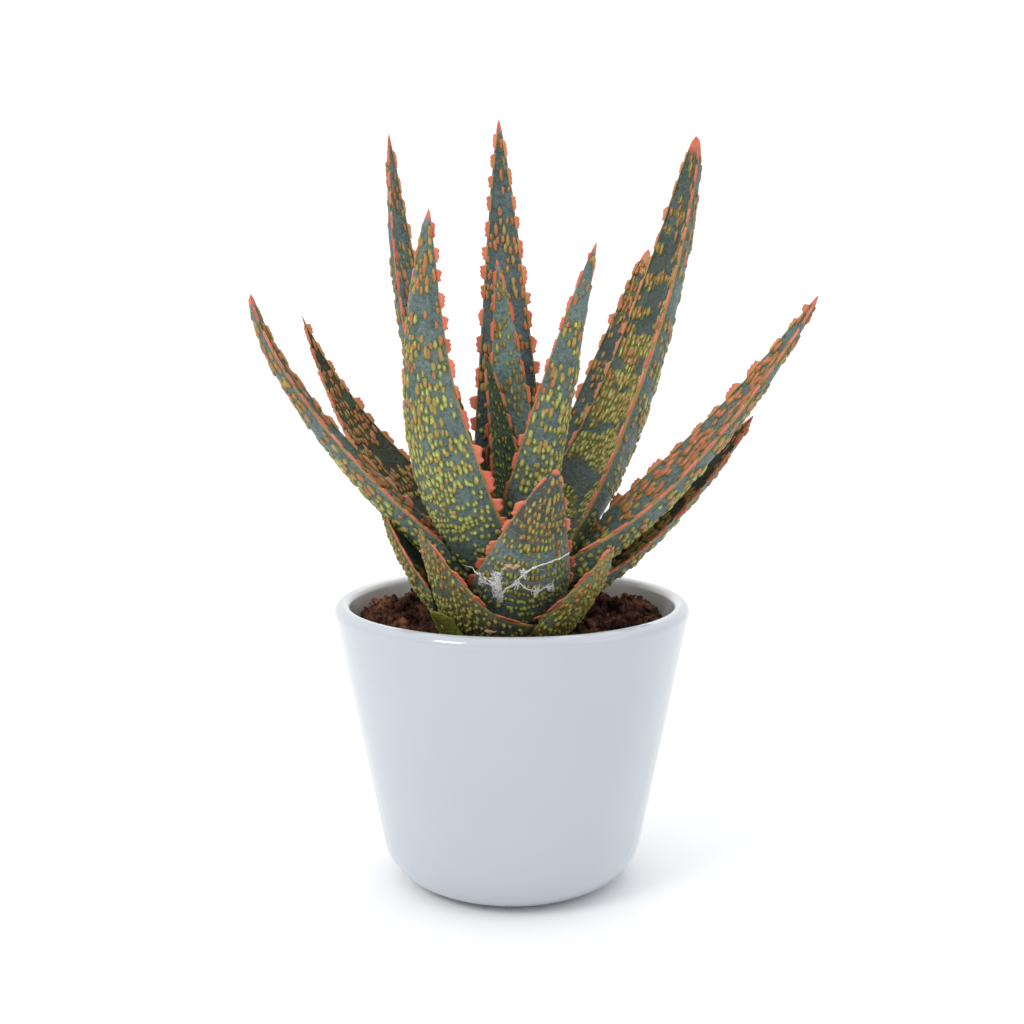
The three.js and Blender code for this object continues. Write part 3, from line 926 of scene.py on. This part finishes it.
def glaze_finish():
    finish = Finish("white glaze", 0.09, 0.55)
    clouds = finish.grain(14, 3)
    white = finish.mix(clouds, (0.44, 0.475, 0.53), (0.49, 0.52, 0.565))
    place = finish.add("ShaderNodeSeparateXYZ")
    finish.join(finish.where, place.inputs[0])
    x, y, z = place.outputs
    radius = finish.calc("SQRT", finish.plus(finish.times(x, x), finish.times(y, y)))
    at_foot = finish.minus(radius, finish.times(z, (RIM - FOOT) / POT_HEIGHT))
    # Painted light: the inner wall above the soil gets a whiter colour than the outside, to make up
    # for the shade inside the pot.
    inside = finish.step(at_foot, (FOOT - INNER_FROM) * MM, (FOOT - INNER_FULL) * MM)
    inside = finish.times(inside, finish.step(z, INNER_LOW * MM, INNER_HIGH * MM))
    white = finish.mix(inside, white, INNER_PAINTED_LIGHT)
    specks = finish.grain(1500, 2, 0.5)
    finish.colour(finish.lay(white, SPECK_GREY, specks, 0.735, 0.76, 0.5))
    finish.gloss(clouds, 0.07, 0.13)
    finish.relief(finish.grain(30, 2), 0.6 * MM, 0.25)
    finish.shader.inputs["Coat Weight"].default_value = 0.5
    finish.shader.inputs["Coat Roughness"].default_value = 0.05
    return finish.material


pot_profile = (
    [(0, 0)]
    + rounding(FOOT - FOOT_ROUND, FOOT_ROUND, FOOT_ROUND, -90, -LEAN)
    + rounding(RIM - LIP_OUT, POT_HEIGHT - LIP_OUT, LIP_OUT, -LEAN, 90)
    + rounding(inner_radius(POT_HEIGHT) + LIP_IN, POT_HEIGHT - LIP_IN, LIP_IN, 90, 180, 10)
    + rounding(inner_radius(FLOOR) - FLOOR_ROUND, FLOOR + FLOOR_ROUND, FLOOR_ROUND, 0, -90, 8)
    + [(0, FLOOR)]
)
POT_STEPS = 144
pot = turned("pot_glazed", pot_profile, POT_STEPS, [glaze_finish()])
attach(pot, "root")
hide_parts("pot")
print("pot faces:", len(pot.data.polygons))

# %% [markdown]
# ## The soil
# Coarse peat lies in heaps against the pot, higher at the sides than in the middle. The heap is
# turned like the pot, with a plain hole for the stem, and its top is then pushed up by noise.
# Crumbs of two sizes and a few bits of bark are half sunk into it.

# %% Heap the soil
# Each clump: where its middle is, how high it rises and how far it spreads, in millimetres.
CLUMPS = [
    (-38, 8, 7, 9), (-27, 24, 7, 9), (-37, -14, 3, 8), (37, 14, 6, 10),
    (41, -6, 3, 8), (24, 32, 5, 9), (0, 39, 5, 9), (-14, -37, 2, 8),
]
SOIL_TOP, SOIL_BOTTOM = 75, FLOOR + GAP
SOIL_EDGE = inner_radius(SOIL_TOP) - GAP
SOIL_ROUND = FLOOR_ROUND - GAP
HOLE, HOLE_BOTTOM = 7 + GAP, 50 - GAP
HEAPS_FROM, HEAPS_OVER = 27, 4


def soil_rise(x, y):
    heaps = sum(h * math.exp(-((x - cx) ** 2 + (y - cy) ** 2) / s**2) for cx, cy, h, s in CLUMPS)
    ripple = 0.8 * math.sin(x * 1.3) * math.cos(y * 1.7)
    return smoothstep((math.hypot(x, y) - HEAPS_FROM) / HEAPS_OVER) * (heaps + ripple)


def crumble(x, y):
    spot = Vector((x, y, 0))
    coarse = noise.fractal(spot * 0.35, 0.9, 2.1, 4)
    fine = noise.fractal(spot * 1.3, 0.8, 2.2, 3)
    return 1.1 * coarse + 0.7 * fine


def soil_finish():
    finish = Finish("moist peat", 0.95, 0.25)
    coarse, fine = finish.grain(130, 6, 0.7), finish.grain(1300, 4, 0.7)
    # The ramp runs from nearly black to reddish brown on the same grain as the relief, so the
    # hollows are darkest: partly the peat's own darker tone, partly painted shade.
    peat = finish.ramp(
        coarse,
        (0.36, (0.008, 0.004, 0.004)), (0.5, (0.066, 0.025, 0.016)), (0.66, (0.3, 0.12, 0.06)),
    )
    finish.colour(finish.lay(peat, (0.27, 0.13, 0.09), fine, 0.5, 0.72, 0.65))
    finish.relief(finish.plus(coarse, fine), 0.9 * MM)
    return finish.material


SOIL_RINGS, SOIL_STEPS = 44, 200
rings = [HOLE + (SOIL_EDGE - HOLE) * k / SOIL_RINGS for k in range(SOIL_RINGS + 1)]
soil_profile = (
    [(0, SOIL_BOTTOM)]
    + rounding(
        inner_radius(SOIL_BOTTOM) - FLOOR_ROUND, SOIL_BOTTOM + FLOOR_ROUND, SOIL_ROUND, -90, 0, 8
    )
    + [(radius, SOIL_TOP) for radius in reversed(rings)]
    + [(HOLE, HOLE_BOTTOM), (0, HOLE_BOTTOM)]
)
PEAT = soil_finish()
soil = turned("soil_heap", soil_profile, SOIL_STEPS, [PEAT])
for v in soil.data.vertices:
    x, y, z = v.co / MM
    if z > SOIL_TOP - 0.1:
        # The noise dies out at the wall and at the stem, so that the fits stay free.
        free = min(1, (SOIL_EDGE - math.hypot(x, y)) / 2, (math.hypot(x, y) - 7) / 3)
        v.co.z += (soil_rise(x, y) + crumble(x, y) * max(0, free)) * MM
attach(soil, "root")
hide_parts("soil")
print("soil faces:", len(soil.data.polygons))


# %% Scatter the crumbs
CRUMB_MARGIN, CRUMB_RISE, CRUMB_GRAIN = 0.4, 0.15, 1100


def scatter_crumbs(name, count, small, large, detail, material, seed):
    draw = chance_run(seed)
    lump = small_shape("lump", bmesh.ops.create_icosphere, subdivisions=detail, radius=1)
    work = new_work()
    while count:
        angle, radius = math.tau * draw(), SOIL_EDGE * math.sqrt(0.12 + 0.84 * draw())
        x, y = radius * math.cos(angle), radius * math.sin(angle)
        size = small + (large - small) * draw() ** 2
        if radius > SOIL_EDGE - size - CRUMB_MARGIN:
            continue
        count -= 1
        turn = Quaternion((draw() - 0.5, draw() - 0.5, draw() - 0.5, draw() + 0.1)).normalized()
        shape = Matrix.Diagonal((size, size * (0.6 + 0.4 * draw()), size * (0.5 + 0.4 * draw()), 1))
        height = SOIL_TOP + soil_rise(x, y) + crumble(x, y) + CRUMB_RISE * size
        place = Matrix.Translation(Vector((x, y, height)) * MM) @ turn.to_matrix().to_4x4()
        centre = place.translation
        for v in stamp(work, lump, place @ shape @ Matrix.Scale(MM, 4))[0]:
            away = v.co - centre
            v.co = centre + away * (0.8 + 0.9 * noise.noise(v.co * CRUMB_GRAIN))
    piece = mesh_object(name, work, [material])
    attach(piece, "root")
    print(name, len(piece.data.polygons))


def bark_finish(name, dark, light):
    finish = Finish(name, 0.85, 0.25)
    fibres = finish.grain(700, 4, 0.6)
    finish.colour(finish.mix(fibres, dark, light))
    finish.relief(fibres, 0.3 * MM)
    return finish.material


scatter_crumbs("soil_crumbs_fine", 3200, 0.3, 1.3, 1, PEAT, 31)
scatter_crumbs("soil_crumbs_coarse", 420, 0.9, 3.1, 2, PEAT, 47)
BARK = bark_finish("tan bark bits", (0.14, 0.065, 0.035), (0.42, 0.25, 0.15))
scatter_crumbs("bark_bits", 22, 0.7, 1.9, 2, BARK, 59)

# %% [markdown]
# ## Threads at the foot
# A few cottony threads and tan flakes hang on the lowest front leaves. Each thread is a bevelled
# curve through points that are cast from the front onto the leaves, so it lies on them, and is then
# made a mesh. The points are given as the viewer sees them, to the right and up, in millimetres.

# %% Cast points onto the leaves
STRANDS = [
    [(-14, 96.5), (-10, 95.6), (-6.5, 94), (-3.8, 92)],
    [(-4.4, 95.6), (-3.4, 93), (-4.2, 90.6), (-3.8, 88.6)],
    [(-3.6, 89.2), (-1.6, 91.6), (0.8, 93.4), (3.3, 96.4)],
    [(1.5, 94), (4.4, 91.6), (7.1, 90.4), (9, 91.8), (11.4, 91.4)],
    [(3.2, 96.6), (6, 98.4), (9.5, 99.6), (13, 100.6), (16.8, 101.4)],
    [(3.4, 98.2), (3.1, 96.6), (4, 94.8)],
    [(-9, 94.2), (-6, 92.4), (-4, 91)],
    [(7.4, 92.6), (7.1, 90.4), (6.2, 89)],
]
# Each tuft: its middle, its spread and its count of threads. Each flake: its middle and its size.
TUFTS = [
    (-4.4, 94.6, 2.2, 26), (-3.9, 91, 2.2, 26), (-3.4, 88.4, 1.2, 12), (-8, 94, 1.6, 10),
    (3.2, 96.4, 1.1, 10), (10.6, 91.6, 1.4, 12), (1, 93, 1.4, 8), (6.5, 90.8, 1.2, 8),
]
FLAKES = [
    (-1.8, 98.2, 1.1), (-0.6, 98.8, 1.5), (0.5, 98.4, 1.3), (1.6, 99, 1.1), (-3.6, 87, 0.6),
    (5.4, 90.8, 0.4), (8.4, 97.6, 0.4), (-10, 97, 0.5), (-6.4, 79.6, 1.1), (-5, 79.4, 0.8),
]
CAST_FROM = -0.046  # behind the pot's front wall, so that no point lands on the pot


def on_leaves(x, z, lift=0.25):
    graph = bpy.context.evaluated_depsgraph_get()
    hit, place, normal, *_ = scene.ray_cast(graph, (x * MM, CAST_FROM, z * MM), (0, 1, 0))
    return place + normal * lift * MM if hit and place.y < 0 else None


def lay_thread(curve, points, thick):
    laid = [place for place in (on_leaves(x, z) for x, z in points) if place]
    if len(laid) < 2:
        return
    spline = curve.splines.new("POLY")
    spline.points.add(len(laid) - 1)
    for point, place in zip(spline.points, laid):
        point.co = (*place, 1)
        point.radius = thick


def wander(points, draw, rough, between=3):
    walked = []
    for (x0, z0), (x1, z1) in zip(points, points[1:]):
        for k in range(between):
            share = k / between
            x, z = x0 + (x1 - x0) * share, z0 + (z1 - z0) * share
            walked.append((x + rough * (draw() - 0.5), z + rough * (draw() - 0.5)))
    return walked + [points[-1]]


# %% Spin the threads
def thread_finish():
    finish = Finish("cottony threads", 0.8, 0.2)
    finish.colour(finish.mix(finish.grain(500, 2), (0.8, 0.8, 0.76), (0.95, 0.95, 0.92)))
    return finish.material


scene = bpy.context.scene
bpy.context.view_layer.update()
THREAD_SEED, THREADS_IN_STRAND, THREAD_RADIUS = 77, 3, 0.00013
draw = chance_run(THREAD_SEED)
curve = bpy.data.curves.new("threads", "CURVE")
curve.dimensions = "3D"
curve.bevel_depth, curve.bevel_resolution = THREAD_RADIUS, 0
curve.use_fill_caps = True
for strand in STRANDS:
    for _ in range(THREADS_IN_STRAND):
        lay_thread(curve, wander(strand, draw, 0.6), 0.6 + 0.6 * draw())
for x, z, spread, count in TUFTS:
    for _ in range(count):
        path = []
        for _ in range(3):
            right, up = spread * (draw() - 0.5) * 1.6, spread * (draw() - 0.5) * 2.4
            path.append((x + right, z + up))
        lay_thread(curve, wander(path, draw, 0.8), 0.5 + 0.5 * draw())
holder = add_object("threads", curve)
graph = bpy.context.evaluated_depsgraph_get()
spun = bpy.data.meshes.new_from_object(holder.evaluated_get(graph))
bpy.data.objects.remove(holder)
spun.materials.clear()
spun.materials.append(thread_finish())
threads = add_object("threads_at_foot", spun)
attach(threads, "root")
print("thread faces:", len(spun.polygons))

# %% Drop the flakes
FLAKE_GRAIN = 1500
work = new_work()
lump = small_shape("flake", bmesh.ops.create_icosphere, subdivisions=2, radius=1)
for x, z, size in FLAKES:
    place = on_leaves(x, z, lift=0.1)
    if place:
        shape = Matrix.Diagonal((size * MM, 0.35 * size * MM, 0.6 * size * MM, 1))
        for v in stamp(work, lump, Matrix.Translation(place) @ shape)[0]:
            v.co = place + (v.co - place) * (0.85 + 0.9 * noise.noise(v.co * FLAKE_GRAIN))
HUSK = bark_finish("dry husk", (0.38, 0.24, 0.14), (0.74, 0.55, 0.38))
flakes = mesh_object("flakes_at_foot", work, [HUSK])
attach(flakes, "root")
print("flake faces:", len(flakes.data.polygons))

# %% [markdown]
# ## Floor, light and camera
# A pale floor and a bright room suit a glossy white pot. The room is brightest behind the plant and
# overhead, and a little darker on the camera's side, which gives the pot its soft grey. One large
# lamp stands in front on the left and gives the glaze a highlight, weaker ones fill the right side
# and the back. The camera stands where the photographer stood, a little above the rim, and looks
# slightly down.

# %% Floor and room
def floor_finish():
    finish = Finish("studio floor", 0.9, 0.2)
    finish.colour(finish.mix(finish.grain(3, 2), (0.94, 0.942, 0.945), (0.955, 0.956, 0.958)))
    return finish.material


sheet = bmesh.new()
bmesh.ops.create_grid(sheet, x_segments=1, y_segments=1, size=6)
floor = mesh_object("studio_floor", sheet, [floor_finish()])
floor.location.z = -0.2 * MM
scene.world = bpy.data.worlds.new("pale room")
scene.world.use_nodes = True
room, links = scene.world.node_tree.nodes, scene.world.node_tree.links
towards = room.new("ShaderNodeSeparateXYZ")
links.new(room.new("ShaderNodeTexCoord").outputs["Generated"], towards.inputs[0])
brightness = room.new("ShaderNodeMath")
# Along the view the strength goes from 0.72 to 1.12, and overhead up to 0.28 is added.
for axis, into, ends in (("Y", 0, (-0.9, 0.5, 0.72, 1.12)), ("Z", 1, (0.25, 1, 0, 0.28))):
    node = room.new("ShaderNodeMapRange")
    for socket, value in zip(("From Min", "From Max", "To Min", "To Max"), ends):
        node.inputs[socket].default_value = value
    links.new(towards.outputs[axis], node.inputs["Value"])
    links.new(node.outputs["Result"], brightness.inputs[into])
links.new(brightness.outputs[0], room["Background"].inputs["Strength"])
room["Background"].inputs["Color"].default_value = (0.98, 0.99, 1, 1)
scene.view_settings.view_transform = "Standard"


# %% Lamps
MIDDLE = Vector((0, 0, 0.11))


def aim(thing, place):
    thing.location = place
    thing.rotation_euler = (MIDDLE - thing.location).to_track_quat("-Z", "Y").to_euler()


def lamp(name, place, size, power, colour=(1, 1, 1)):
    light = bpy.data.lights.new(name, "AREA")
    light.shape, light.size, light.energy, light.color = "SQUARE", size, power, colour
    aim(add_object(name, light), place)


lamp("window", (-0.75, -0.75, 0.95), 0.4, 5.2, (1, 0.98, 0.95))
lamp("fill", (0.9, -0.5, 0.6), 0.6, 0.8, (0.93, 0.96, 1))
lamp("back", (0.1, 0.9, 0.9), 0.8, 1.0)

# %% Camera
camera = add_object("camera", bpy.data.cameras.new("camera"))
camera.data.sensor_width = 36
camera.data.lens = 46.7
camera.data.clip_start = 0.01
aim(camera, (0, -387.7 * MM, 164 * MM))
scene.camera = camera
